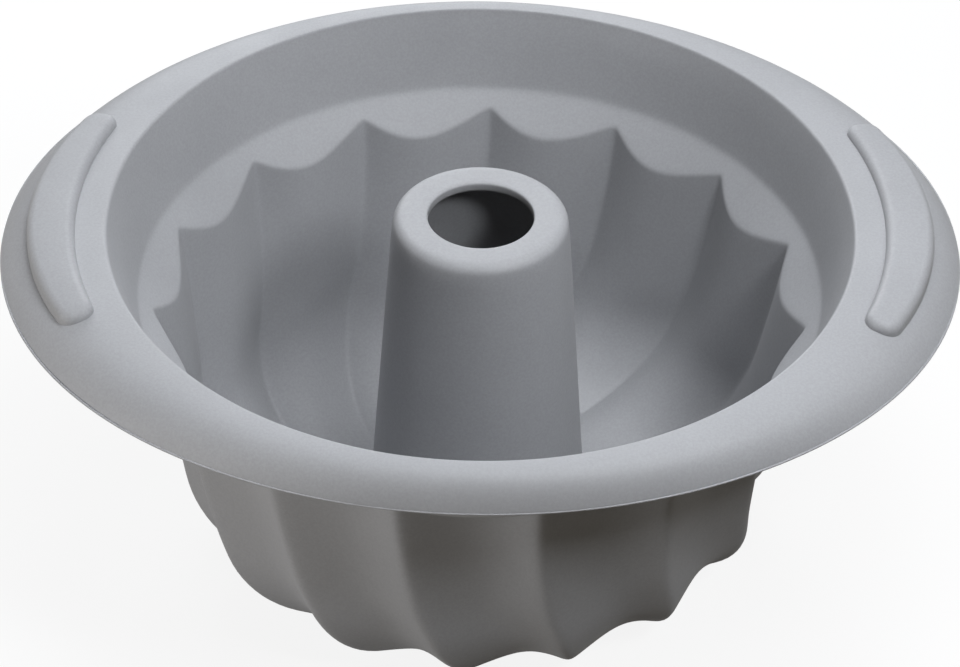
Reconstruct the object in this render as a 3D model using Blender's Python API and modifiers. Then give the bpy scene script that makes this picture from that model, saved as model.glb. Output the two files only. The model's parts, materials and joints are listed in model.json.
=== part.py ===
"""Silicone fluted tube pan: a ring-cake mould with fifteen swirled flutes and two grip handles.

The moulding is one thin wall. It starts at the rolled outer edge of the rim, runs over the
flat rim top and down a plain band, turns in over a sloping shoulder, drops down the fluted
wall, crosses the floor and climbs the central tube to the hole in its top.
Z is up, the table is at z = 0, the tube stands on the Z axis and the handles lie along X.
"""

import math

import bmesh
import bpy

MM = 0.001

# Rim: a top that starts level at the mouth and rolls down to its outer lip, wider at the two handles.
# The crown says how late it turns down: 2 is an even arc, more keeps it level for longer.
MOUTH_R = 110.0 * MM
RIM_HEIGHT = 117.0 * MM
RIM_WIDTH = 11.0 * MM
HANDLE_WIDTH = 32.3 * MM
RIM_FALL = 11.0 * MM
RIM_CROWN = 4.0
MOUTH_EDGE = 1.0 * MM

# Wall of the whole moulding, and the slice cut off below so that it stands flat
WALL = 1.8 * MM
BASE_TRIM = 0.3 * MM

# Plain band under the mouth and the shoulder that carries the flutes
BAND_DEPTH = 24.6 * MM
BAND_TAPER = 8.0 * MM
BAND_FILLET = 1.6 * MM
SHOULDER_SLOPE = math.radians(43.5)
SHOULDER_WIDTH = 4.5 * MM

# Fluted bowl: a drafted wall, a round corner and a floor
FLUTES = 15
FLUTE_DEPTH = 5.6 * MM
CREASE_SOFTNESS = 0.12
FLUTE_FADE = 6.0
FLUTE_PHASE = math.radians(88.5)
FLUTE_TWIST = math.radians(21.5)
WALL_DRAFT = math.radians(8.9)
CORNER_R = 34.5 * MM

# Central tube
TUBE_FOOT_R = 33.8 * MM
TUBE_DRAFT = math.radians(3.75)
TUBE_PROUD = 1.8 * MM
TUBE_EDGE_R = 3.2 * MM
TUBE_HOLE_R = 15.7 * MM
TUBE_HOLE_LIP = 3.0 * MM
FOOT_FILLET = 6.0 * MM
FOOT_RING = 5.0 * MM

# Steel wire moulded into the rolled edge, with the holes that its locating pins leave
WIRE_R = 1.5 * MM
WIRE_COVER = 1.1 * MM
WIRE_SINK = 0.4 * MM
WIRE_DEPTH = 7.0 * MM
PIN_HOLES = 8
PIN_HOLE_R = 1.5 * MM

# Grip pads on the handles, each keyed through the rim by pegs. The top falls a little towards the lip.
# The upright corners are a share of the width at the ends, and the soft edge round the top is a share
# of the corners. On the lip's side the edge is tighter by the last share.
PAD_INSET = 9.4 * MM
PAD_LIP_MARGIN = 8.6 * MM
PAD_HALF_ANGLE = math.radians(23.6)
PAD_PROUD = 3.0 * MM
PAD_TOP_FALL = 1.6 * MM
PAD_CORNER = 0.42
PAD_EDGE = 0.76
PAD_LIP_EDGE = 0.75
PEGS_PER_PAD = 3
PEG_R = 2.0 * MM

# Clearance between pieces that touch
GAP = 0.3 * MM

# Facets
STEPS_PER_FLUTE = 6
CREASE_CROWDING = 0.07
RIM_STEPS = 4
WALL_STEPS = 3
CORNER_STEPS = 5
ROUND_STEPS = 2
WIRE_STEPS = 48
WIRE_SIDES_RESOLUTION = 2
PAD_STEPS = 12
HOLE_STEPS = 12

# Heights and radii that follow from the sizes above, on the cake's side of the wall
FLOOR_Z = WALL - BASE_TRIM
TUBE_TOP_Z = RIM_HEIGHT + TUBE_PROUD
BAND_END_R = MOUTH_R - BAND_TAPER
BAND_END_Z = RIM_HEIGHT - BAND_DEPTH
SHOULDER_END_R = BAND_END_R - SHOULDER_WIDTH
SHOULDER_END_Z = BAND_END_Z - SHOULDER_WIDTH * math.tan(SHOULDER_SLOPE)
CORNER_Z = FLOOR_Z + CORNER_R
CORNER_START = math.pi / 2 - WALL_DRAFT
WALL_FALL = SHOULDER_END_Z - CORNER_Z + CORNER_R * math.sin(WALL_DRAFT)
CORNER_CENTRE_R = SHOULDER_END_R - WALL_FALL * math.tan(WALL_DRAFT) - CORNER_R * math.cos(WALL_DRAFT)
WALL_RUN = WALL_FALL / math.cos(WALL_DRAFT)
CORNER_RUN = CORNER_R * CORNER_START
FLUTE_END_R = TUBE_FOOT_R + FOOT_FILLET + FOOT_RING
FLUTE_RUN = WALL_RUN + CORNER_RUN + CORNER_CENTRE_R - FLUTE_END_R


def rim_radius(angle):
    """Outer edge of the rim: an oval, widest at the handles on +X and -X."""
    along = MOUTH_R + HANDLE_WIDTH
    across = MOUTH_R + RIM_WIDTH
    return 1.0 / math.hypot(math.cos(angle) / along, math.sin(angle) / across)


def flute_bulge(across):
    """How far a flute stands into the cake, from 0 in a crease to 1 at its nose, with the crease eased."""
    eased = math.hypot(math.sin(math.pi * across), CREASE_SOFTNESS) - CREASE_SOFTNESS
    return eased / (math.hypot(1.0, CREASE_SOFTNESS) - CREASE_SOFTNESS)


def flute_depth(run):
    """Depth of a flute at this distance down the wall: full at the shoulder, none at the tube's foot."""
    return FLUTE_DEPTH * (1.0 - (run / FLUTE_RUN) ** FLUTE_FADE)


def flute_twist(run):
    """Turn of the flutes about the axis: it grows with the square of the distance down the wall."""
    return FLUTE_TWIST * (run / FLUTE_RUN) ** 2


def rim_top(angle, share):
    """A point (radius, height) of the rim's top, this share of the way from the mouth to the lip."""
    width = rim_radius(angle) - MOUTH_R
    return MOUTH_R + width * share, RIM_HEIGHT - RIM_FALL * share ** RIM_CROWN


def rim_rows(angle):
    """The rim's top, from its outer lip in to the mouth's broken edge."""
    rows = []
    for step in range(RIM_STEPS):
        share = math.cos(math.pi / 2 * step / RIM_STEPS) ** (2.0 / RIM_CROWN)
        rows.append((*rim_top(angle, share), 0.0))
    rows.append((MOUTH_R + MOUTH_EDGE, RIM_HEIGHT, 0.0))
    rows.append((MOUTH_R, RIM_HEIGHT - MOUTH_EDGE, 0.0))
    return rows


def band_rows():
    """The end of the plain band, cut short by the fillet that leads on to the shoulder."""
    fall = math.hypot(BAND_TAPER, BAND_DEPTH)
    up_r = BAND_TAPER / fall
    up_z = BAND_DEPTH / fall
    in_r = math.cos(SHOULDER_SLOPE)
    in_z = math.sin(SHOULDER_SLOPE)
    return [
        (BAND_END_R + BAND_FILLET * up_r, BAND_END_Z + BAND_FILLET * up_z, 0.0),
        (BAND_END_R - BAND_FILLET / 2 * in_r, BAND_END_Z - BAND_FILLET / 2 * in_z, 0.0),
    ]


def wall_rows(bulge):
    """Down the drafted wall. The top row lies on the shoulder, so a bulge starts lower than a crease."""
    slope = math.tan(SHOULDER_SLOPE)
    draft = math.tan(WALL_DRAFT)
    drop = slope * flute_depth(0.0) * bulge / (1.0 - slope * draft)
    top = SHOULDER_END_Z - drop
    bottom = SHOULDER_END_Z - WALL_FALL
    rows = []
    for step in range(WALL_STEPS):
        height = top + (bottom - top) * step / WALL_STEPS
        fallen = SHOULDER_END_Z - height
        run = max(fallen - drop, 0.0) / math.cos(WALL_DRAFT)
        radius = SHOULDER_END_R - fallen * draft - flute_depth(run) * bulge
        rows.append((radius, height, flute_twist(run)))
    return rows


def corner_rows(bulge):
    """Round the corner between wall and floor."""
    rows = []
    for step in range(CORNER_STEPS + 1):
        lean = CORNER_START * (1.0 - step / CORNER_STEPS)
        run = WALL_RUN + CORNER_R * (CORNER_START - lean)
        reach = CORNER_R - flute_depth(run) * bulge
        radius = CORNER_CENTRE_R + reach * math.sin(lean)
        height = CORNER_Z - reach * math.cos(lean)
        rows.append((radius, height, flute_twist(run)))
    return rows


def tube_rows():
    """From the end of the flutes: foot ring, fillet, drafted side, rounded top edge, lip in the hole."""
    rows = [(FLUTE_END_R, FLOOR_Z, FLUTE_TWIST)]
    for step in range(ROUND_STEPS + 1):
        lean = (math.pi / 2 - TUBE_DRAFT) * step / ROUND_STEPS
        radius = TUBE_FOOT_R + FOOT_FILLET * (1.0 - math.sin(lean))
        height = FLOOR_Z + FOOT_FILLET * (1.0 - math.cos(lean))
        rows.append((radius, height, FLUTE_TWIST))
    side_r = TUBE_FOOT_R - (TUBE_TOP_Z - FLOOR_Z) * math.tan(TUBE_DRAFT)
    for step in range(ROUND_STEPS + 1):
        lean = TUBE_DRAFT + (math.pi / 2 - TUBE_DRAFT) * step / ROUND_STEPS
        radius = side_r - TUBE_EDGE_R * (1.0 - math.cos(lean))
        height = TUBE_TOP_Z - TUBE_EDGE_R * (1.0 - math.sin(lean))
        rows.append((radius, height, FLUTE_TWIST))
    rows.append((TUBE_HOLE_R, TUBE_TOP_Z, FLUTE_TWIST))
    rows.append((TUBE_HOLE_R, TUBE_TOP_Z - TUBE_HOLE_LIP, FLUTE_TWIST))
    return rows


def moulding_surface():
    """The cake's side of the whole wall as one open lofted sheet, its faces towards the cake.

    Columns of the fluted rows crowd towards the creases, where the surface turns fastest.
    """
    columns = FLUTES * STEPS_PER_FLUTE
    mesh = bmesh.new()
    grid = []
    for column in range(columns):
        angle = FLUTE_PHASE + math.tau * column / columns
        even = (column % STEPS_PER_FLUTE) / STEPS_PER_FLUTE
        nudge = -CREASE_CROWDING * math.sin(math.tau * even)
        bulge = flute_bulge(even + nudge)
        fluted = [
            (radius, height, twist + nudge * math.tau / FLUTES)
            for radius, height, twist in wall_rows(bulge) + corner_rows(bulge)
        ]
        rows = rim_rows(angle) + band_rows() + fluted + tube_rows()
        grid.append([
            mesh.verts.new((radius * math.cos(angle + twist), radius * math.sin(angle + twist), height))
            for radius, height, twist in rows
        ])
    for column, here in enumerate(grid):
        there = grid[(column + 1) % columns]
        for row in range(len(here) - 1):
            mesh.faces.new((here[row], there[row], there[row + 1], here[row + 1]))
    return mesh


def mesh_object(name, mesh, collection):
    """Put a bmesh into a new object of this collection."""
    data = bpy.data.meshes.new(name)
    mesh.to_mesh(data)
    mesh.free()
    made = bpy.data.objects.new(name, data)
    collection.objects.link(made)
    return made


def as_helper(made):
    """A helper that other objects cut with or take in, and that no picture shows."""
    made.hide_render = True
    made.display_type = "WIRE"
    return made


def boolean(target, operation, helper):
    """Cut the helper from the target, or join it on."""
    step = target.modifiers.new(helper.name, "BOOLEAN")
    step.operation = operation
    step.object = helper


def pad_corner_radius():
    """Radius of a pad's upright corners, from the width of its ends."""
    return PAD_CORNER * (rim_radius(PAD_HALF_ANGLE) - PAD_LIP_MARGIN - MOUTH_R - PAD_INSET)


def pad_block(name, turn, low, collection):
    """A bent bar: inner edge round the mouth, outer edge in line with the lip, rounded upright corners.

    Each column holds four points: low and high beside the mouth, then high and low beside the lip.
    """
    top = RIM_HEIGHT + PAD_PROUD
    mesh = bmesh.new()
    columns = []
    for step in range(PAD_STEPS + 1):
        angle = PAD_HALF_ANGLE * (2.0 * step / PAD_STEPS - 1.0)
        inner = MOUTH_R + PAD_INSET
        outer = rim_radius(angle) - PAD_LIP_MARGIN
        columns.append([
            mesh.verts.new((radius * math.cos(angle + turn), radius * math.sin(angle + turn), height))
            for radius, height in ((inner, low), (inner, top), (outer, top - PAD_TOP_FALL), (outer, low))
        ])
    for here, there in zip(columns, columns[1:]):
        for row in range(4):
            after = (row + 1) % 4
            mesh.faces.new((here[row], there[row], there[after], here[after]))
    mesh.faces.new(columns[0])
    mesh.faces.new(list(reversed(columns[-1])))
    bmesh.ops.recalc_face_normals(mesh, faces=mesh.faces)
    upright = [mesh.edges.get(pair) for column in (columns[0], columns[-1])
               for pair in ((column[0], column[1]), (column[2], column[3]))]
    bmesh.ops.bevel(mesh, geom=upright, offset=pad_corner_radius(), segments=3, profile=0.5, affect="EDGES")
    weigh_top_edge(mesh, turn)
    return mesh_object(name, mesh, collection)


def weigh_top_edge(mesh, turn):
    """Mark the edge round a pad's top for its rounding, less on the lip's side."""
    weights = mesh.edges.layers.float.new("bevel_weight_edge")
    for edge in mesh.edges:
        if len([face for face in edge.link_faces if face.normal.z > 0.9]) != 1:
            continue
        middle = (edge.verts[0].co + edge.verts[1].co) / 2
        angle = math.atan2(middle.y, middle.x) - turn
        reach = rim_radius(angle) - PAD_LIP_MARGIN - MOUTH_R - PAD_INSET
        across = (math.hypot(middle.x, middle.y) - MOUTH_R - PAD_INSET) / reach
        edge[weights] = 1.0 - (1.0 - PAD_LIP_EDGE) * min(max(2.0 * across - 0.9, 0.0), 1.0)


def peg_places(turn):
    """Where a pad's pegs stand: spaced along it, midway between its two edges."""
    places = []
    for number in range(PEGS_PER_PAD):
        angle = PAD_HALF_ANGLE * ((2.0 * number + 1.0) / PEGS_PER_PAD - 1.0)
        radius = (MOUTH_R + PAD_INSET + rim_radius(angle) - PAD_LIP_MARGIN) / 2
        places.append((radius * math.cos(angle + turn), radius * math.sin(angle + turn)))
    return places


def share_at(radius, angle):
    """How far this radius lies from the mouth towards the lip, as a share of the rim's width."""
    return (radius - MOUTH_R) / (rim_radius(angle) - MOUTH_R)


def wire_radius(angle):
    """Where the wire runs: as far out as leaves its bead just under the rim's top, found by halving."""
    depth = WIRE_R + GAP + WIRE_COVER + WIRE_SINK
    width = rim_radius(angle) - MOUTH_R
    low = 0.0
    high = 1.0
    for _ in range(40):
        share = (low + high) / 2
        radius, height = rim_top(angle, share)
        steepness = math.atan(RIM_FALL * RIM_CROWN * share ** (RIM_CROWN - 1.0) / width)
        if height - depth * math.cos(steepness) > RIM_HEIGHT - WIRE_DEPTH:
            low = share
        else:
            high = share
    return radius - depth * math.sin(steepness)


def wire_path():
    """Points of the wire's centre line, level all the way round inside the rim's roll."""
    points = []
    for step in range(WIRE_STEPS):
        angle = math.tau * step / WIRE_STEPS
        radius = wire_radius(angle)
        points.append((radius * math.cos(angle), radius * math.sin(angle), RIM_HEIGHT - WIRE_DEPTH))
    return points


def rod_along(name, points, radius, collection):
    """A closed round rod along these points, as a mesh."""
    curve = bpy.data.curves.new(name, "CURVE")
    curve.dimensions = "3D"
    curve.bevel_depth = radius
    curve.bevel_resolution = WIRE_SIDES_RESOLUTION
    spline = curve.splines.new("POLY")
    spline.points.add(len(points) - 1)
    for point, place in zip(spline.points, points):
        point.co = (*place, 1.0)
    spline.use_cyclic_u = True
    drawn = bpy.data.objects.new(name + "_curve", curve)
    collection.objects.link(drawn)
    bpy.context.view_layer.update()
    graph = bpy.context.evaluated_depsgraph_get()
    data = bpy.data.meshes.new_from_object(drawn.evaluated_get(graph))
    data.name = name
    bpy.data.objects.remove(drawn)
    made = bpy.data.objects.new(name, data)
    collection.objects.link(made)
    return made


def posts(name, places, radius, low, high, collection):
    """Upright round posts on these (x, y) places, as one object."""
    mesh = bmesh.new()
    for x, y in places:
        made = bmesh.ops.create_cone(
            mesh, cap_ends=True, segments=HOLE_STEPS, radius1=radius, radius2=radius, depth=high - low,
        )
        bmesh.ops.translate(mesh, verts=made["verts"], vec=(x, y, (low + high) / 2))
    return mesh_object(name, mesh, collection)


def below_rim(collection):
    """All that lies below the rim's top, raised by the clearance: it shapes the underside of the pads."""
    columns = FLUTES * STEPS_PER_FLUTE
    low = RIM_HEIGHT - 2.0 * RIM_FALL
    mesh = bmesh.new()
    rings = []
    for column in range(columns):
        angle = FLUTE_PHASE + math.tau * column / columns
        section = [(radius, height + GAP) for radius, height, _ in rim_rows(angle)]
        section += [(section[-1][0], low), (section[0][0], low)]
        rings.append([
            mesh.verts.new((radius * math.cos(angle), radius * math.sin(angle), height))
            for radius, height in section
        ])
    for column, here in enumerate(rings):
        there = rings[(column + 1) % columns]
        for row in range(len(here)):
            after = (row + 1) % len(here)
            mesh.faces.new((here[row], there[row], there[after], here[after]))
    return mesh_object("below_rim", mesh, collection)


def below_table(collection):
    """All that lies below the table, to cut the base flat."""
    side = 3.0 * (MOUTH_R + HANDLE_WIDTH)
    depth = WALL
    mesh = bmesh.new()
    bmesh.ops.create_cube(mesh, size=1.0)
    bmesh.ops.scale(mesh, verts=mesh.verts, vec=(side, side, depth))
    bmesh.ops.translate(mesh, verts=mesh.verts, vec=(0.0, 0.0, -depth / 2))
    return mesh_object("below_table", mesh, collection)


def pan_moulding(parts, cutters):
    """The silicone moulding: lofted wall, wire bead and channel, pin and peg holes, flat base."""
    pan = mesh_object("pan_moulding", moulding_surface(), parts)
    shell = pan.modifiers.new("wall", "SOLIDIFY")
    shell.thickness = WALL
    shell.offset = -1.0

    path = wire_path()
    bead = rod_along("wire_bead", path, WIRE_R + GAP + WIRE_COVER, cutters)
    channel = rod_along("wire_channel", path, WIRE_R + GAP, cutters)
    pin_places = [
        path[round((number + 0.5) * WIRE_STEPS / PIN_HOLES) % WIRE_STEPS][:2]
        for number in range(PIN_HOLES)
    ]
    wire_z = RIM_HEIGHT - WIRE_DEPTH
    pin_low = wire_z - 2.0 * (WIRE_R + GAP + WIRE_COVER)
    pins = posts("pin_holes", pin_places, PIN_HOLE_R, pin_low, wire_z, cutters)
    peg_holes = posts(
        "peg_holes", peg_places(0.0) + peg_places(math.pi), PEG_R + GAP,
        RIM_HEIGHT - RIM_FALL, RIM_HEIGHT + PAD_PROUD, cutters,
    )
    boolean(pan, "UNION", as_helper(bead))
    boolean(pan, "DIFFERENCE", as_helper(channel))
    boolean(pan, "DIFFERENCE", as_helper(pins))
    boolean(pan, "DIFFERENCE", as_helper(peg_holes))
    boolean(pan, "DIFFERENCE", as_helper(below_table(cutters)))
    return pan


def rim_wire(parts):
    """The steel wire that keeps the rim and the handles stiff."""
    return rod_along("rim_wire", wire_path(), WIRE_R, parts)


def grip_pad(label, turn, rim, parts, cutters):
    """A raised bar on a handle: it rests on the rim's top, and its pegs go through the wall."""
    pad = pad_block(f"grip_pad_{label}", turn, RIM_HEIGHT - RIM_FALL, parts)
    edge = pad.modifiers.new("rounded_edge", "BEVEL")
    edge.width = PAD_EDGE * pad_corner_radius()
    edge.segments = 2
    edge.limit_method = "WEIGHT"
    places = peg_places(turn)
    deepest = max(share_at(math.hypot(x, y), math.atan2(y, x)) for x, y in places)
    low = RIM_HEIGHT - RIM_FALL * deepest ** RIM_CROWN - WALL
    pegs = posts(f"pegs_{label}", places, PEG_R, low, RIM_HEIGHT + PAD_PROUD / 2, cutters)
    boolean(pad, "DIFFERENCE", rim)
    boolean(pad, "UNION", as_helper(pegs))
    return pad


def finish(made, name, colour, roughness, metallic):
    """Give an object its own Principled material and smooth shading over its round faces."""
    material = bpy.data.materials.new(name)
    material.use_nodes = True
    shader = material.node_tree.nodes["Principled BSDF"]
    shader.inputs["Base Color"].default_value = (*colour, 1.0)
    shader.inputs["Roughness"].default_value = roughness
    shader.inputs["Metallic"].default_value = metallic
    made.data.materials.clear()
    made.data.materials.append(material)
    made.data.shade_smooth()
    made.data.set_sharp_from_angle(angle=math.radians(30.0))


def new_collection(name):
    made = bpy.data.collections.new(name)
    bpy.context.scene.collection.children.link(made)
    return made


def main():
    for old in list(bpy.data.objects):
        bpy.data.objects.remove(old)
    parts = new_collection("fluted_tube_pan")
    cutters = new_collection("cutters")

    silicone = (0.33, 0.34, 0.36)
    finish(pan_moulding(parts, cutters), "grey_silicone", silicone, 0.55, 0.0)
    finish(rim_wire(parts), "spring_steel", (0.55, 0.55, 0.54), 0.35, 1.0)
    rim = as_helper(below_rim(cutters))
    for label, turn in (("left", math.pi), ("right", 0.0)):
        pad = grip_pad(label, turn, rim, parts, cutters)
        finish(pad, f"pad_silicone_{label}", silicone, 0.5, 0.0)


main()
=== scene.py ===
"""Looks of a grey silicone ring-cake pan with swirled flutes, dressed round its solids.

The moulding is one sheet that grows ring by ring: it starts at the hole of the tube, runs down the
tube and over the floor, up the fluted wall, over the shoulder and the plain band, and out to the lip.
"""

import json
import math

import bmesh
import bpy
from mathutils import Matrix, Vector

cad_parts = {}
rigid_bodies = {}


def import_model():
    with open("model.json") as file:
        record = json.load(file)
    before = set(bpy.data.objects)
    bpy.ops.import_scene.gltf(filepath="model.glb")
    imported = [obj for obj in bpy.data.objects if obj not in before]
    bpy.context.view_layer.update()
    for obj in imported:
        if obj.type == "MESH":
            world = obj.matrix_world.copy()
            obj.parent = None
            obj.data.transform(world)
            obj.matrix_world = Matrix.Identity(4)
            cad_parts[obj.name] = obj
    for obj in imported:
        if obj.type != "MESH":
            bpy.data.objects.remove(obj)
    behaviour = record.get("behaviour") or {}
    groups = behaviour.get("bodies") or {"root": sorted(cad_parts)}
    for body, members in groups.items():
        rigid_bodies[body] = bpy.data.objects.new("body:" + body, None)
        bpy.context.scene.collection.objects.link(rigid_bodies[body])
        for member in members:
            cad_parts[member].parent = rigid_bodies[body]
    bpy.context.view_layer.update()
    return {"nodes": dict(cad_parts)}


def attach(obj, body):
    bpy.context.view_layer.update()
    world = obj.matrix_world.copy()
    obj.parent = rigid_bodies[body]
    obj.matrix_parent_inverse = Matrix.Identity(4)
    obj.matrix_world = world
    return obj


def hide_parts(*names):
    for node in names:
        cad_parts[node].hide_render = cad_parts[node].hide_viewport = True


MM = 0.001

# Moulding, in millimetres
MOUTH_R = 110.0
RIM_HEIGHT = 117.0
RIM_WIDTH = 11.0
HANDLE_WIDTH = 32.3
RIM_FALL = 11.0
RIM_CROWN = 4.0
WALL = 1.8
FLOOR_Z = 1.5
BAND_DEPTH = 24.6
BAND_TAPER = 8.0
SHOULDER_SLOPE = math.radians(43.5)
SHOULDER_WIDTH = 4.5
FLUTES = 15
FLUTE_DEPTH = 5.6
FLUTE_LEAN = 0.28
FLUTE_ROUNDNESS = 1.9
CREASE_SOFTNESS = 0.05
FLUTE_FADE = 6.0
FLUTE_PHASE = math.radians(88.5)
FLUTE_TWIST = math.radians(21.5)
WALL_DRAFT = math.radians(8.9)
CORNER_R = 34.5
TUBE_FOOT_R = 33.8
TUBE_DRAFT = math.radians(3.75)
TUBE_TOP_Z = 118.8
TUBE_EDGE_R = 3.2
TUBE_HOLE_R = 15.7
HOLE_LIP = 3.0
HOLE_EDGE_R = 0.7
HOLE_EDGE_CUT = 0.12
FOOT_FILLET = 6.0
FOOT_RING = 5.0
FOOT_Z = 0.02
TUBE_EDGE_LEAD = 1.2
FLUTE_LEAD = 2.0
SCALLOP_MARGIN = 1.0

# Wire bead, lip and grips, in millimetres
WIRE_Z = 110.0
WIRE_REACH_X = 133.64
WIRE_REACH_Y = 116.30
BEAD_R = 2.9
PIN_R = 1.5
PINS = 8
PIN_SIDES = 20
OVAL_STEPS = 48
BEAD_BENDS = 6
BEAD_SMOOTH = math.radians(40.0)
LIP_EDGE_R = 0.36
LIP_EDGE_BENDS = 3
LIP_EDGE_REACH_X = 141.56
LIP_EDGE_REACH_Y = 120.53
LIP_DRAW_IN = 0.12
GRIP_INNER_R = 119.4
GRIP_LIP_MARGIN = 8.6
GRIP_HALF_ANGLE = math.radians(23.6)
GRIP_PROUD = 2.97
GRIP_TOP_FALL = 1.6
GRIP_CORNER_R = 4.2
GRIP_EDGE_R = 3.2
GRIP_OUTER_EDGE = 0.75
GRIP_BLEND_START = 0.45
GRIP_BLEND_END = 0.95
GRIP_STEPS = 20
GRIP_BENDS = 6
GRIP_SINK = 0.6
GRIP_SMOOTH = math.radians(35.0)
PEG_R = 2.0
PEG_INTO_GRIP = 1.0
PEG_STANDOUT = 0.5
PEG_ROUNDING = 0.4
PEG_BENDS = 3
PEG_SIDES = 28
PEGS = 3

# Limits within which points are near, at one place or at one angle, and above which a face is a top
NEAR = 1.0
SAME_PLACE = 0.01
SAME_ANGLE = 0.002
TOP_FACE = 0.9

# Where the points round one flute lie, from one crease at 0 to the next at 1
POINT_SHARES = (0.0, 0.028, 0.085, 0.17, 0.275, 0.385, 0.5, 0.615, 0.725, 0.83, 0.915, 0.972)
POINTS_PER_FLUTE = len(POINT_SHARES)
POINTS_ROUND = FLUTES * POINTS_PER_FLUTE
MIDDLE_COLUMN = POINTS_PER_FLUTE // 2

# Where the rings of the sheet lie along each stretch, and how many steps round an edge
ROUND_STEPS = 4
CORNER_STEPS = 9
TUBE_SHARES = (0.05, 0.35, 0.65, 0.92)
FLOOR_SHARES = (0.0, 0.3, 0.65)
WALL_SHARES = (0.86, 0.72, 0.58, 0.44, 0.3, 0.17, 0.07, 0.025, 0.0)
BAND_RISES = (2.4, 10.0, 18.0)
RIM_SHARES = (0.012, 0.04, 0.12, 0.25, 0.4, 0.53, 0.64, 0.73, 0.81, 0.88, 0.94, 0.985, 1.0)

# Silicone and steel: each grain as its scale, detail and roughness, and heights in millimetres
SILICONE_GREY = (0.34, 0.345, 0.36)
CLOUDS = (22.0, 4.0, 0.6)
CLOUDINESS = 0.035
SPECKS = (1300.0, 2.0, 0.6)
SPECK_SHADES = (0.95, 1.04)
HANDLING = (45.0, 5.0, 0.65)
SILICONE_ROUGHNESS = (0.48, 0.62)
SKIN = (2300.0, 3.0, 0.55)
SKIN_STRENGTH = 0.35
SKIN_HEIGHT = 0.06
WAVES = (38.0, 2.0, 0.5)
WAVE_STRENGTH = 0.5
WAVE_HEIGHT = 0.25
SILICONE_IOR = 1.42
SHEEN = 0.06
SHEEN_ROUGHNESS = 0.4
DRAWING_MARKS = (900.0, 4.0, 0.6)
STEEL_ROUGHNESS = (0.25, 0.45)
STEEL_STAINS = (60.0, 3.0, 0.6)
STEEL_DARK = (0.50, 0.50, 0.49, 1.0)
STEEL_LIGHT = (0.62, 0.62, 0.61, 1.0)

# The parts of a grain's range that are carried over to another range
WHOLE = (0.0, 1.0)
BROAD_MIDDLE = (0.3, 0.7)
NARROW_MIDDLE = (0.35, 0.65)

# Room and floor: their colours, and how bright they are to the camera and in reflections
WHITE = (1.0, 1.0, 1.0, 1.0)
ROOM_COLOUR = (1.0, 0.82, 0.62, 1.0)
ROOM_LIGHT = 0.04
FLOOR_COLOUR = (0.14, 0.12, 0.09, 1.0)
FLOOR_SEEN = (0.85, 0.85, 0.85, 1.0)
FLOOR_ROUGHNESS = 0.9
FLOOR_GLOW = 0.88
MIRRORED_WHITE = 0.3

# The floor, and the height that the lamps aim at, in millimetres
FLOOR_SIDE = 12000.0
FLOOR_DROP = 0.2
AIM_HEIGHT = 80.0

# Lamps: azimuth and elevation in degrees, distance, width and height in metres, watts and colour
SOFT_BOXES = (
    ("overhead", 90.0, 84.0, 1.0, 0.6, 0.6, 3.2, (0.93, 0.96, 1.0)),
    ("front_top", 320.0, 74.0, 0.75, 0.4, 0.4, 2.8, (0.95, 0.97, 1.0)),
    ("key", 308.0, 47.0, 0.75, 0.13, 0.13, 1.9, (0.95, 0.97, 1.0)),
    ("right", 350.0, 40.0, 0.75, 0.25, 0.25, 0.6, (0.95, 0.97, 1.0)),
    ("behind", 100.0, 26.0, 0.75, 0.4, 0.4, 3.2, (0.93, 0.96, 1.0)),
    ("low_left", 206.0, 0.0, 0.75, 0.5, 0.16, 2.6, (1.0, 0.98, 0.96)),
)

# Camera: place and sight in metres, lens and sensor in millimetres
CAMERA_PLACE = (0.00022, -1.05127, 0.90955)
CAMERA_PITCH = math.radians(38.47)
CAMERA_ROLL = math.radians(0.78)
CAMERA_LENS = 167.29
CAMERA_SENSOR = 36.0
CAMERA_SIGHT = 100.0

# Slopes, heights and radii that follow
SHOULDER_RISE = math.tan(SHOULDER_SLOPE)
TAPER = BAND_TAPER / BAND_DEPTH
SHOULDER_END_R = MOUTH_R - BAND_TAPER - SHOULDER_WIDTH
SHOULDER_END_Z = RIM_HEIGHT - BAND_DEPTH - SHOULDER_WIDTH * SHOULDER_RISE
CORNER_Z = FLOOR_Z + CORNER_R
CORNER_START = math.pi / 2 - WALL_DRAFT
WALL_FALL = SHOULDER_END_Z - CORNER_Z + CORNER_R * math.sin(WALL_DRAFT)
CORNER_CENTRE_R = SHOULDER_END_R - WALL_FALL * math.tan(WALL_DRAFT) - CORNER_R * math.cos(WALL_DRAFT)
WALL_RUN = WALL_FALL / math.cos(WALL_DRAFT)
FLUTE_END_R = TUBE_FOOT_R + FOOT_FILLET + FOOT_RING
FLUTE_RUN = WALL_RUN + CORNER_R * CORNER_START + CORNER_CENTRE_R - FLUTE_END_R

# Rings round the fillet between shoulder and band, and round the mouth's edge: out and up from the corner
BAND_FILLET = ((-1.3, -1.3 * SHOULDER_RISE), (-0.4, -0.4 * SHOULDER_RISE + 0.08), (0.2, 0.7))
MOUTH_EDGE = ((-1.5 * TAPER, -2.2), (-0.1, -0.95))


def select_nothing():
    """Leave edit mode and drop the selection, so that the next piece starts alone."""
    if bpy.context.mode != "OBJECT":
        bpy.ops.object.mode_set(mode="OBJECT")
    bpy.ops.object.select_all(action="DESELECT")


def only(piece):
    """Make this the one selected and active piece."""
    select_nothing()
    piece.select_set(True)
    bpy.context.view_layer.objects.active = piece
    return piece


def apply_all(piece):
    """Bake every modifier of the piece into its mesh, in their order."""
    only(piece)
    for modifier in list(piece.modifiers):
        bpy.ops.object.modifier_apply(modifier=modifier.name)


def settle(piece):
    """Put the piece's place, turn and scale into its mesh."""
    only(piece)
    bpy.ops.object.transform_apply(location=True, rotation=True, scale=True)


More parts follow.
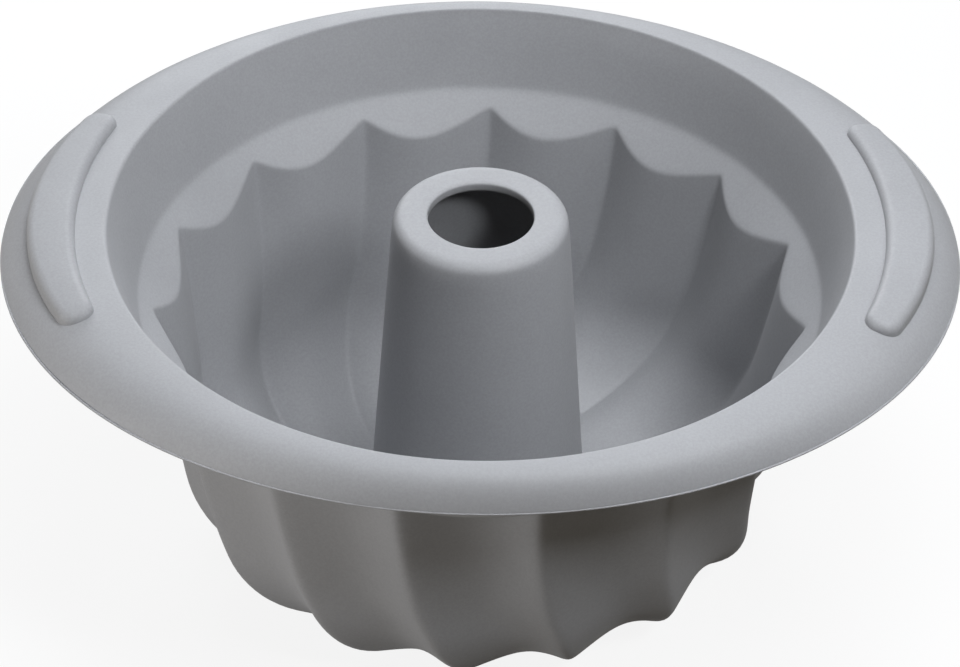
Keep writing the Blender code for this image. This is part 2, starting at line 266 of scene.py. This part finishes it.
def pick(piece, wanted):
    """In edit mode, select the points that pass the test, with the edges and faces between them."""
    mesh = bmesh.from_edit_mesh(piece.data)
    for point in mesh.verts:
        point.select_set(wanted(point))
    mesh.select_flush(True)
    bmesh.update_edit_mesh(piece.data)


def bulge(column):
    """How far a flute stands into the cake at this point: its nose leans towards the second crease."""
    share = POINT_SHARES[column]
    leant = share - FLUTE_LEAN * share * (1.0 - share)
    rise = 1.0 - abs(1.0 - 2.0 * leant) ** FLUTE_ROUNDNESS
    eased = math.hypot(rise, CREASE_SOFTNESS) - CREASE_SOFTNESS
    return eased / (math.hypot(1.0, CREASE_SOFTNESS) - CREASE_SOFTNESS)


def flute_depth(run):
    """Depth of a flute at this distance from the shoulder: it fades out on the floor."""
    return FLUTE_DEPTH * (1.0 - (run / FLUTE_RUN) ** FLUTE_FADE)


def flute_turn(run):
    """How far the flutes have swirled at this distance from the shoulder."""
    return FLUTE_TWIST * (run / FLUTE_RUN) ** 2


def plain(radius, height):
    """A ring that is a circle: the same place for every point of a flute."""
    return [(radius, height)] * POINTS_PER_FLUTE


def tube_rings():
    """From the lip inside the hole, over the tube's top and down its side to the floor."""
    rings = [
        plain(TUBE_HOLE_R, TUBE_TOP_Z - HOLE_LIP),
        plain(TUBE_HOLE_R, TUBE_TOP_Z - HOLE_LIP + HOLE_EDGE_R),
        plain(TUBE_HOLE_R, TUBE_TOP_Z - HOLE_EDGE_R),
        plain(TUBE_HOLE_R + HOLE_EDGE_CUT, TUBE_TOP_Z - HOLE_EDGE_CUT),
        plain(TUBE_HOLE_R + HOLE_EDGE_R, TUBE_TOP_Z),
    ]
    side_r = TUBE_FOOT_R - (TUBE_TOP_Z - FLOOR_Z) * math.tan(TUBE_DRAFT)
    rings.append(plain(side_r - TUBE_EDGE_R - TUBE_EDGE_LEAD, TUBE_TOP_Z))
    for step in range(ROUND_STEPS, -1, -1):
        lean = TUBE_DRAFT + (math.pi / 2 - TUBE_DRAFT) * step / ROUND_STEPS
        rings.append(plain(
            side_r - TUBE_EDGE_R * (1.0 - math.cos(lean)),
            TUBE_TOP_Z - TUBE_EDGE_R * (1.0 - math.sin(lean)),
        ))
    for share in TUBE_SHARES:
        height = TUBE_TOP_Z - TUBE_EDGE_R - (TUBE_TOP_Z - TUBE_EDGE_R - FOOT_FILLET - FLOOR_Z) * share
        rings.append(plain(TUBE_FOOT_R - (height - FLOOR_Z) * math.tan(TUBE_DRAFT), height))
    for step in range(ROUND_STEPS, -1, -1):
        lean = (math.pi / 2 - TUBE_DRAFT) * step / ROUND_STEPS
        rings.append(plain(
            TUBE_FOOT_R + FOOT_FILLET * (1.0 - math.sin(lean)),
            FLOOR_Z + FOOT_FILLET * (1.0 - math.cos(lean)),
        ))
    rings.append(plain(FLUTE_END_R - FLUTE_LEAD, FLOOR_Z))
    return [(ring, FLUTE_TWIST) for ring in rings]


def floor_rings():
    """Over the floor, where the flutes rise out of the ring round the tube's foot."""
    rings = []
    for share in FLOOR_SHARES:
        radius = FLUTE_END_R + (CORNER_CENTRE_R - FLUTE_END_R) * share
        run = FLUTE_RUN - (radius - FLUTE_END_R)
        ring = [(radius, FLOOR_Z + flute_depth(run) * bulge(column)) for column in range(POINTS_PER_FLUTE)]
        rings.append((ring, flute_turn(run)))
    return rings


def corner_rings():
    """Up the round corner between floor and wall."""
    rings = []
    for step in range(CORNER_STEPS, -1, -1):
        lean = CORNER_START * (1.0 - step / CORNER_STEPS)
        run = WALL_RUN + CORNER_R * (CORNER_START - lean)
        ring = []
        for column in range(POINTS_PER_FLUTE):
            reach = CORNER_R - flute_depth(run) * bulge(column)
            ring.append((CORNER_CENTRE_R + reach * math.sin(lean), CORNER_Z - reach * math.cos(lean)))
        rings.append((ring, flute_turn(run)))
    return rings


def wall_rings():
    """Up the drafted wall to its edge on the sloping shoulder, where a nose ends lower than a crease."""
    draft = math.tan(WALL_DRAFT)
    bottom = SHOULDER_END_Z - WALL_FALL
    rings = []
    for share in WALL_SHARES:
        ring = []
        runs = []
        for column in range(POINTS_PER_FLUTE):
            drop = SHOULDER_RISE * flute_depth(0.0) * bulge(column) / (1.0 - SHOULDER_RISE * draft)
            top = SHOULDER_END_Z - drop
            height = top + (bottom - top) * share
            fallen = SHOULDER_END_Z - height
            run = max(fallen - drop, 0.0) / math.cos(WALL_DRAFT)
            ring.append((SHOULDER_END_R - fallen * draft - flute_depth(run) * bulge(column), height))
            runs.append(run)
        rings.append((ring, flute_turn(runs[MIDDLE_COLUMN])))
    return rings


def band_rings():
    """Out over the shoulder and up the plain band to the mouth."""
    shoulder_top_r = SHOULDER_END_R + SHOULDER_WIDTH
    shoulder_top_z = SHOULDER_END_Z + SHOULDER_WIDTH * SHOULDER_RISE
    rings = [[
        (radius + SCALLOP_MARGIN, height + SCALLOP_MARGIN * SHOULDER_RISE)
        for radius, height in wall_rings()[-1][0]
    ]]
    for out, up in BAND_FILLET:
        rings.append(plain(shoulder_top_r + out, shoulder_top_z + up))
    for rise in BAND_RISES:
        rings.append(plain(shoulder_top_r + rise * TAPER, shoulder_top_z + rise))
    for out, up in MOUTH_EDGE:
        rings.append(plain(MOUTH_R + out, RIM_HEIGHT + up))
    return [(ring, 0.0) for ring in rings]


def grow_ring(sheet, old, new):
    """Extrude the selected ring, and carry each of its points from its old place to its new one."""
    (old_places, old_turn), (new_places, new_turn) = old, new
    bpy.ops.mesh.extrude_edges_move()
    mesh = bmesh.from_edit_mesh(sheet.data)
    columns = mesh.verts.layers.int["column"]
    ring = [point for point in mesh.verts if point.select]
    alike = len(set(old_places)) == 1 and len(set(new_places)) == 1
    groups = [0] if alike else range(POINTS_PER_FLUTE)
    for group in groups:
        for point in ring:
            point.select_set(alike or point[columns] == group)
        (old_r, old_z), (new_r, new_z) = old_places[group], new_places[group]
        bpy.ops.transform.resize(value=(new_r / old_r, new_r / old_r, 1.0), center_override=(0.0, 0.0, 0.0))
        bpy.ops.transform.translate(value=(0.0, 0.0, (new_z - old_z) * MM))
    for point in ring:
        point.select_set(True)
    mesh.select_flush(True)
    if new_turn != old_turn:
        bpy.ops.transform.rotate(
            value=old_turn - new_turn, orient_axis="Z", center_override=(0.0, 0.0, 0.0),
        )


def grow_rim(width, height, new_width, new_height):
    """Extrude the selected ring out to a wider oval: widths are along X and along Y."""
    bpy.ops.mesh.extrude_edges_move()
    bpy.ops.transform.resize(
        value=(new_width[0] / width[0], new_width[1] / width[1], 1.0), center_override=(0.0, 0.0, 0.0),
    )
    bpy.ops.transform.translate(value=(0.0, 0.0, (new_height - height) * MM))


def mark_columns(sheet):
    """Note on each point of the first ring its place in its flute, and move it to that place's share."""
    mesh = bmesh.from_edit_mesh(sheet.data)
    layer = mesh.verts.layers.int.new("column")
    columns = {}
    for point in mesh.verts:
        angle = math.atan2(point.co.y, point.co.x) - FLUTE_PHASE - FLUTE_TWIST
        column = round(angle / (math.tau / POINTS_ROUND)) % POINTS_PER_FLUTE
        point[layer] = column
        columns.setdefault(column, []).append(point)
    for column, points in columns.items():
        for point in mesh.verts:
            point.select_set(False)
        for point in points:
            point.select_set(True)
        bpy.ops.transform.rotate(
            value=(column / POINTS_PER_FLUTE - POINT_SHARES[column]) * math.tau / FLUTES,
            orient_axis="Z", center_override=(0.0, 0.0, 0.0),
        )
    bpy.ops.mesh.select_all(action="SELECT")


def first_ring(radius, height):
    """A new sheet that is only its first ring, left in edit mode with all of it selected."""
    select_nothing()
    bpy.ops.mesh.primitive_circle_add(
        vertices=POINTS_ROUND, radius=radius * MM, fill_type="NOTHING", location=(0.0, 0.0, height * MM),
        rotation=(0.0, 0.0, FLUTE_PHASE + FLUTE_TWIST),
    )
    sheet = bpy.context.active_object
    sheet.name = "silicone_moulding"
    settle(sheet)
    bpy.ops.object.mode_set(mode="EDIT")
    bpy.ops.mesh.select_mode(type="VERT")
    bpy.ops.mesh.select_all(action="SELECT")
    return sheet


def grow_lip(radius, height):
    """From the mouth, a circle, out over the rim in ovals, and down its roll to the lip."""
    width = (radius, radius)
    for share in RIM_SHARES:
        new_width = (
            MOUTH_R + HANDLE_WIDTH * share,
            MOUTH_R + RIM_WIDTH * share - LIP_DRAW_IN * share ** 8,
        )
        new_height = RIM_HEIGHT - RIM_FALL * share ** RIM_CROWN
        grow_rim(width, height, new_width, new_height)
        width, height = new_width, new_height


def give_wall(sheet):
    """Thicken the sheet to the wall, and level the ring that the pan stands on."""
    wall = sheet.modifiers.new("wall", "SOLIDIFY")
    wall.thickness = WALL * MM
    wall.offset = -1.0
    apply_all(sheet)
    bpy.ops.object.mode_set(mode="EDIT")
    pick(sheet, lambda point: point.co.z < FOOT_Z * MM)
    bpy.ops.transform.resize(value=(1.0, 1.0, 0.0), center_override=(0.0, 0.0, FOOT_Z * MM))
    bpy.ops.object.mode_set(mode="OBJECT")


def mould_pan():
    """The whole moulding as one sheet, given its wall and smoothed."""
    rings = tube_rings() + floor_rings() + corner_rings() + wall_rings() + band_rings()
    sheet = first_ring(*rings[0][0][0])
    mark_columns(sheet)
    for old, new in zip(rings, rings[1:]):
        grow_ring(sheet, old, new)
    grow_lip(*rings[-1][0][0])
    bpy.ops.mesh.select_all(action="SELECT")
    bpy.ops.mesh.flip_normals()
    bpy.ops.object.mode_set(mode="OBJECT")
    give_wall(sheet)
    smooth = sheet.modifiers.new("smooth", "SUBSURF")
    smooth.levels = 1
    smooth.render_levels = 1
    apply_all(sheet)
    bpy.ops.object.shade_smooth()
    return sheet


def rim_top_z(radius, angle):
    """Height of the rim's top at this radius and angle."""
    share = (radius - MOUTH_R) / (lip_radius(angle) - MOUTH_R)
    return RIM_HEIGHT - RIM_FALL * share ** RIM_CROWN


def lip_radius(angle):
    """How far out the lip is at this angle."""
    along = MOUTH_R + HANDLE_WIDTH
    across = MOUTH_R + RIM_WIDTH
    return 1.0 / math.hypot(math.cos(angle) / along, math.sin(angle) / across)


def round_post(name, x, y, radius, low, high, sides):
    """An upright round post."""
    select_nothing()
    bpy.ops.mesh.primitive_cylinder_add(
        vertices=sides, radius=radius * MM, depth=(high - low) * MM,
        location=(x * MM, y * MM, (low + high) / 2 * MM),
    )
    post = bpy.context.active_object
    post.name = name
    settle(post)
    return post


def joined(name, pieces):
    """Several pieces made into one."""
    only(pieces[0])
    for piece in pieces[1:]:
        piece.select_set(True)
    bpy.ops.object.join()
    pieces[0].name = name
    return pieces[0]


def oval_bead(name, reach_x, reach_y, height, radius, bends):
    """A round bead that runs once round the pan on an oval."""
    select_nothing()
    bpy.ops.curve.primitive_bezier_circle_add(radius=reach_x * MM, location=(0.0, 0.0, height * MM))
    bead = bpy.context.active_object
    bead.name = name
    settle(bead)
    bpy.ops.object.mode_set(mode="EDIT")
    bpy.ops.curve.select_all(action="SELECT")
    bpy.ops.transform.resize(value=(1.0, reach_y / reach_x, 1.0), center_override=(0.0, 0.0, 0.0))
    bpy.ops.object.mode_set(mode="OBJECT")
    bead.data.resolution_u = OVAL_STEPS
    bead.data.bevel_depth = radius * MM
    bead.data.bevel_resolution = bends
    bpy.ops.object.convert(target="MESH")
    return bpy.context.active_object


def mould_lip_edge():
    """The fine edge along the bottom of the lip, where the two halves of the mould met."""
    height = RIM_HEIGHT - RIM_FALL + LIP_EDGE_R
    edge = oval_bead(
        "lip_edge", LIP_EDGE_REACH_X, LIP_EDGE_REACH_Y, height, LIP_EDGE_R, LIP_EDGE_BENDS,
    )
    only(edge)
    bpy.ops.object.shade_smooth()
    return edge


def mould_bead():
    """The bead under the rim's roll that holds the wire, with the holes that its locating pins left."""
    bead = oval_bead("wire_bead", WIRE_REACH_X, WIRE_REACH_Y, WIRE_Z, BEAD_R, BEAD_BENDS)
    posts = []
    for number in range(PINS):
        angle = math.tau * (number + 0.5) / PINS
        reach = 1.0 / math.hypot(math.cos(angle) / WIRE_REACH_X, math.sin(angle) / WIRE_REACH_Y)
        posts.append(round_post(
            f"pin_{number}", reach * math.cos(angle), reach * math.sin(angle),
            PIN_R, WIRE_Z - 2.0 * BEAD_R, WIRE_Z, PIN_SIDES,
        ))
    pins = joined("pins", posts)
    cut = bead.modifiers.new("pin_holes", "BOOLEAN")
    cut.operation = "DIFFERENCE"
    cut.object = pins
    apply_all(bead)
    bpy.data.objects.remove(pins)
    only(bead)
    bpy.ops.object.shade_smooth_by_angle(angle=BEAD_SMOOTH)
    return bead


def grip_block():
    """The plain block of a grip on the +X handle: a bent bar whose underside follows the rim."""
    top = RIM_HEIGHT + GRIP_PROUD
    outer_r = lip_radius(0.0) - GRIP_LIP_MARGIN
    middle = (GRIP_INNER_R + outer_r) / 2
    depth = 2.0 * GRIP_PROUD
    select_nothing()
    bpy.ops.mesh.primitive_plane_add(size=2.0 * MM, location=(middle * MM, 0.0, top * MM))
    grip = bpy.context.active_object
    settle(grip)
    bpy.ops.object.mode_set(mode="EDIT")
    bpy.ops.mesh.select_mode(type="VERT")
    pick(grip, lambda point: point.co.y > 0.0)
    bpy.ops.mesh.delete(type="VERT")
    bpy.ops.mesh.select_all(action="SELECT")
    bpy.ops.transform.resize(
        value=((outer_r - GRIP_INNER_R) / 2.0, 0.0, 1.0), center_override=(middle * MM, 0.0, top * MM),
    )
    bpy.ops.transform.rotate(value=GRIP_HALF_ANGLE, orient_axis="Z", center_override=(0.0, 0.0, 0.0))
    bpy.ops.mesh.spin(
        steps=GRIP_STEPS, angle=-2.0 * GRIP_HALF_ANGLE, center=(0.0, 0.0, 0.0), axis=(0.0, 0.0, 1.0),
    )
    bpy.ops.mesh.select_all(action="SELECT")
    bpy.ops.mesh.extrude_region_move()
    bpy.ops.transform.translate(value=(0.0, 0.0, -depth * MM))
    mesh = bmesh.from_edit_mesh(grip.data)
    columns = sorted({round(math.atan2(point.co.y, point.co.x), 4) for point in mesh.verts})
    for angle in columns:
        reach = lip_radius(angle) - GRIP_LIP_MARGIN
        fit_column(grip, angle, outer_r, reach)
        pick(grip, lambda point: in_column(point, angle) and point.co.z > RIM_HEIGHT * MM
             and point.co.to_2d().length > (reach - NEAR) * MM)
        bpy.ops.transform.translate(value=(0.0, 0.0, -GRIP_TOP_FALL * MM))
        for radius in (GRIP_INNER_R, reach):
            sink_foot(grip, angle, radius, rim_top_z(radius, angle) - GRIP_SINK - (top - depth))
    bpy.ops.mesh.select_all(action="SELECT")
    bpy.ops.mesh.normals_make_consistent(inside=False)
    return grip


def in_column(point, angle):
    """Whether the point lies at this angle round the pan."""
    return abs(math.atan2(point.co.y, point.co.x) - angle) < SAME_ANGLE


def fit_column(grip, angle, outer_r, reach):
    """Bring the outer points at this angle in to the line that runs beside the lip."""
    middle = (GRIP_INNER_R + outer_r) / 2 * MM
    pick(grip, lambda point: in_column(point, angle) and point.co.to_2d().length > middle)
    bpy.ops.transform.resize(value=(reach / outer_r, reach / outer_r, 1.0), center_override=(0.0, 0.0, 0.0))


def sink_foot(grip, angle, radius, move):
    """Lower or lift the bottom points at this angle and radius."""
    pick(grip, lambda point: in_column(point, angle) and point.co.z < RIM_HEIGHT * MM
         and abs(point.co.to_2d().length - radius * MM) < NEAR * MM)
    bpy.ops.transform.translate(value=(0.0, 0.0, move * MM))


def round_grip(grip):
    """Round the grip's corners, then its top edge: softly towards the mouth, tighter towards the lip."""
    mesh = bmesh.from_edit_mesh(grip.data)
    for edge in mesh.edges:
        first, second = edge.verts
        upright = (first.co - second.co).to_2d().length < SAME_PLACE * MM
        at_end = abs(abs(math.atan2(first.co.y, first.co.x)) - GRIP_HALF_ANGLE) < SAME_ANGLE
        edge.select_set(upright and at_end)
    bpy.ops.mesh.bevel(offset=GRIP_CORNER_R * MM, segments=GRIP_BENDS, affect="EDGES")
    mesh = bmesh.from_edit_mesh(grip.data)
    weights = mesh.edges.layers.float.new("bevel_weight_edge")
    for edge in mesh.edges:
        tops = [face for face in edge.link_faces if face.normal.z > TOP_FACE]
        if len(tops) == 1:
            centre = (edge.verts[0].co + edge.verts[1].co) / 2
            width = lip_radius(math.atan2(centre.y, centre.x)) - GRIP_LIP_MARGIN - GRIP_INNER_R
            across = (centre.to_2d().length / MM - GRIP_INNER_R) / width
            blend = (across - GRIP_BLEND_START) / (GRIP_BLEND_END - GRIP_BLEND_START)
            edge[weights] = 1.0 - (1.0 - GRIP_OUTER_EDGE) * max(0.0, min(1.0, blend))
    bmesh.update_edit_mesh(grip.data)
    bpy.ops.object.mode_set(mode="OBJECT")
    soft = grip.modifiers.new("soft_edge", "BEVEL")
    soft.limit_method = "WEIGHT"
    soft.width = GRIP_EDGE_R * MM
    soft.segments = GRIP_BENDS
    soft.use_clamp_overlap = False
    apply_all(grip)


def mould_grips():
    """Both grips, each with its pegs, whose ends stand out a little under the rim."""
    right = grip_block()
    round_grip(right)
    pegs = []
    for number in range(PEGS):
        angle = GRIP_HALF_ANGLE * ((2.0 * number + 1.0) / PEGS - 1.0)
        radius = (GRIP_INNER_R + lip_radius(angle) - GRIP_LIP_MARGIN) / 2
        low = rim_top_z(radius, angle) - WALL - PEG_STANDOUT
        peg = round_post(
            f"peg_{number}", radius * math.cos(angle), radius * math.sin(angle),
            PEG_R, low, RIM_HEIGHT + PEG_INTO_GRIP, PEG_SIDES,
        )
        only(peg)
        bpy.ops.object.mode_set(mode="EDIT")
        pick(peg, lambda point: point.co.z < (low + NEAR) * MM)
        bpy.ops.mesh.bevel(offset=PEG_ROUNDING * MM, segments=PEG_BENDS, affect="EDGES")
        bpy.ops.object.mode_set(mode="OBJECT")
        pegs.append(peg)
    right = joined("grip_right", [right] + pegs)
    only(right)
    bpy.ops.object.shade_smooth_by_angle(angle=GRIP_SMOOTH)
    bpy.ops.object.duplicate()
    left = bpy.context.active_object
    left.name = "grip_left"
    left.rotation_euler = (0.0, 0.0, math.pi)
    settle(left)
    return left, right


def add(nodes, kind, **settings):
    """A shader node with these settings."""
    node = nodes.new(kind)
    for name, value in settings.items():
        setattr(node, name, value)
    return node


def grain(tree, scale, detail, roughness):
    """A grain on the piece's own coordinates."""
    place = add(tree.nodes, "ShaderNodeTexCoord")
    noise = add(tree.nodes, "ShaderNodeTexNoise")
    noise.inputs["Scale"].default_value = scale
    noise.inputs["Detail"].default_value = detail
    noise.inputs["Roughness"].default_value = roughness
    tree.links.new(place.outputs["Object"], noise.inputs["Vector"])
    return noise.outputs["Fac"]


def carried(tree, field, old_range, new_range):
    """A field carried over from one range to another."""
    node = add(tree.nodes, "ShaderNodeMapRange")
    node.inputs["From Min"].default_value = old_range[0]
    node.inputs["From Max"].default_value = old_range[1]
    node.inputs["To Min"].default_value = new_range[0]
    node.inputs["To Max"].default_value = new_range[1]
    tree.links.new(field, node.inputs["Value"])
    return node.outputs["Result"]


def between(tree, share, first, second):
    """A colour that goes from the first to the second as the share goes from 0 to 1."""
    node = add(tree.nodes, "ShaderNodeMix", data_type="RGBA")
    node.inputs["A"].default_value = first
    node.inputs["B"].default_value = second
    tree.links.new(share, node.inputs["Factor"])
    return node.outputs["Result"]


def relief(tree, field, strength, height):
    """A bump node that raises the surface by the field: the height is in millimetres."""
    node = add(tree.nodes, "ShaderNodeBump")
    node.inputs["Strength"].default_value = strength
    node.inputs["Distance"].default_value = height * MM
    tree.links.new(field, node.inputs["Height"])
    return node


def silicone(name, colour):
    """Matt moulded silicone: a fine eroded grain, faint cloudiness and patches that were handled."""
    material = bpy.data.materials.new(name)
    material.use_nodes = True
    tree = material.node_tree
    shader = tree.nodes["Principled BSDF"]
    links = tree.links

    clouds = carried(tree, grain(tree, *CLOUDS), BROAD_MIDDLE, WHOLE)
    dark = (*[part * (1.0 - CLOUDINESS) for part in colour], 1.0)
    light = (*[part * (1.0 + CLOUDINESS) for part in colour], 1.0)
    speck = carried(tree, grain(tree, *SPECKS), NARROW_MIDDLE, SPECK_SHADES)
    coat = add(tree.nodes, "ShaderNodeMix", data_type="RGBA", blend_type="MULTIPLY")
    coat.inputs["Factor"].default_value = 1.0
    links.new(between(tree, clouds, dark, light), coat.inputs["A"])
    links.new(speck, coat.inputs["B"])
    links.new(coat.outputs["Result"], shader.inputs["Base Color"])

    handled = carried(tree, grain(tree, *HANDLING), BROAD_MIDDLE, SILICONE_ROUGHNESS)
    links.new(handled, shader.inputs["Roughness"])

    skin = relief(tree, grain(tree, *SKIN), SKIN_STRENGTH, SKIN_HEIGHT)
    wave = relief(tree, grain(tree, *WAVES), WAVE_STRENGTH, WAVE_HEIGHT)
    links.new(skin.outputs["Normal"], wave.inputs["Normal"])
    links.new(wave.outputs["Normal"], shader.inputs["Normal"])
    shader.inputs["IOR"].default_value = SILICONE_IOR
    shader.inputs["Sheen Weight"].default_value = SHEEN
    shader.inputs["Sheen Roughness"].default_value = SHEEN_ROUGHNESS
    return material


def drawn_steel(name):
    """Bright steel wire with fine marks from drawing."""
    material = bpy.data.materials.new(name)
    material.use_nodes = True
    tree = material.node_tree
    shader = tree.nodes["Principled BSDF"]
    shader.inputs["Metallic"].default_value = 1.0
    marks = carried(tree, grain(tree, *DRAWING_MARKS), WHOLE, STEEL_ROUGHNESS)
    tree.links.new(marks, shader.inputs["Roughness"])
    dull = between(tree, grain(tree, *STEEL_STAINS), STEEL_DARK, STEEL_LIGHT)
    tree.links.new(dull, shader.inputs["Base Color"])
    return material


def wear(piece, material):
    """Give the piece this one material."""
    piece.data.materials.clear()
    piece.data.materials.append(material)


def seen_white(tree, seen, mirrored):
    """How white the surroundings are: for what the camera sees, and for what the pan mirrors."""
    path = add(tree.nodes, "ShaderNodeLightPath")
    shares = []
    for ray, share in (("Is Camera Ray", seen), ("Is Transmission Ray", seen), ("Is Glossy Ray", mirrored)):
        part = add(tree.nodes, "ShaderNodeMath", operation="MULTIPLY")
        part.inputs[1].default_value = share
        tree.links.new(path.outputs[ray], part.inputs[0])
        shares.append(part.outputs[0])
    whitest = shares[0]
    for share in shares[1:]:
        larger = add(tree.nodes, "ShaderNodeMath", operation="MAXIMUM")
        tree.links.new(whitest, larger.inputs[0])
        tree.links.new(share, larger.inputs[1])
        whitest = larger.outputs[0]
    return whitest


def lay_floor():
    """A plain white floor: bright to the camera, and shaded where the pan stands on it."""
    select_nothing()
    bpy.ops.mesh.primitive_plane_add(size=FLOOR_SIDE * MM, location=(0.0, 0.0, -FLOOR_DROP * MM))
    floor = bpy.context.active_object
    floor.name = "floor"
    material = bpy.data.materials.new("white_table")
    material.use_nodes = True
    tree = material.node_tree
    shader = tree.nodes["Principled BSDF"]
    shader.inputs["Roughness"].default_value = FLOOR_ROUGHNESS
    path = add(tree.nodes, "ShaderNodeLightPath")
    paint = between(tree, path.outputs["Is Camera Ray"], FLOOR_COLOUR, FLOOR_SEEN)
    tree.links.new(paint, shader.inputs["Base Color"])
    glow = add(tree.nodes, "ShaderNodeEmission")
    glow.inputs["Color"].default_value = WHITE
    mixed = add(tree.nodes, "ShaderNodeMixShader")
    tree.links.new(seen_white(tree, FLOOR_GLOW, FLOOR_GLOW * MIRRORED_WHITE), mixed.inputs[0])
    tree.links.new(shader.outputs[0], mixed.inputs[1])
    tree.links.new(glow.outputs[0], mixed.inputs[2])
    tree.links.new(mixed.outputs[0], tree.nodes["Material Output"].inputs["Surface"])
    wear(floor, material)


def light_room():
    """Dim warm surroundings for the light that reaches the pan, white for what is seen or mirrored."""
    world = bpy.data.worlds.new("studio")
    bpy.context.scene.world = world
    world.use_nodes = True
    tree = world.node_tree
    around = tree.nodes["Background"]
    around.inputs["Color"].default_value = ROOM_COLOUR
    around.inputs["Strength"].default_value = ROOM_LIGHT
    white = add(tree.nodes, "ShaderNodeBackground")
    white.inputs["Color"].default_value = WHITE
    mixed = add(tree.nodes, "ShaderNodeMixShader")
    tree.links.new(seen_white(tree, 1.0, MIRRORED_WHITE), mixed.inputs[0])
    tree.links.new(around.outputs[0], mixed.inputs[1])
    tree.links.new(white.outputs[0], mixed.inputs[2])
    tree.links.new(mixed.outputs[0], tree.nodes["World Output"].inputs["Surface"])


def soft_box(name, azimuth, elevation, distance, width, height, power, colour):
    """A softbox that faces the pan."""
    lamp = bpy.data.lights.new(name, "AREA")
    lamp.shape = "RECTANGLE"
    lamp.size = width
    lamp.size_y = height
    lamp.energy = power
    lamp.color = colour
    box = bpy.data.objects.new(name, lamp)
    bpy.context.scene.collection.objects.link(box)
    along = math.radians(azimuth)
    up = math.radians(elevation)
    towards = Vector((math.cos(along) * math.cos(up), math.sin(along) * math.cos(up), math.sin(up)))
    box.location = Vector((0.0, 0.0, AIM_HEIGHT * MM)) + towards * distance
    box.rotation_euler = towards.to_track_quat("Z", "Y").to_euler()
    return box


def place_camera():
    """A long lens in front of the pan, looking down on it."""
    ahead = Vector((0.0, math.cos(CAMERA_PITCH), -math.sin(CAMERA_PITCH)))
    side = Vector((1.0, 0.0, 0.0))
    up = side.cross(ahead)
    turned_side = side * math.cos(CAMERA_ROLL) + up * math.sin(CAMERA_ROLL)
    turned_up = up * math.cos(CAMERA_ROLL) - side * math.sin(CAMERA_ROLL)
    data = bpy.data.cameras.new("camera")
    data.sensor_width = CAMERA_SENSOR
    data.lens = CAMERA_LENS
    data.clip_end = CAMERA_SIGHT
    camera = bpy.data.objects.new("camera", data)
    bpy.context.scene.collection.objects.link(camera)
    turn = Matrix((turned_side, turned_up, -ahead)).transposed().to_4x4()
    camera.matrix_world = Matrix.Translation(CAMERA_PLACE) @ turn
    bpy.context.scene.camera = camera


def main():
    """Dress the solids, and set the light and the camera."""
    for old in list(bpy.data.objects):
        bpy.data.objects.remove(old)
    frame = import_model()

    grey = silicone("grey_silicone", SILICONE_GREY)
    pan = mould_pan()
    lip_edge = mould_lip_edge()
    bead = mould_bead()
    left, right = mould_grips()
    for piece, node, slot in (
        (pan, "pan_moulding", "silicone"), (lip_edge, "pan_moulding", "silicone"),
        (bead, "pan_moulding", "silicone"),
        (left, "grip_pad_left", "pad_silicone"), (right, "grip_pad_right", "pad_silicone"),
    ):
        wear(piece, grey)
        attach(piece, "root")
        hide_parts(node)
    wear(frame["nodes"]["rim_wire"], drawn_steel("drawn_steel"))

    lay_floor()
    light_room()
    for values in SOFT_BOXES:
        soft_box(*values)
    place_camera()
    bpy.context.scene.view_settings.view_transform = "Standard"


main()
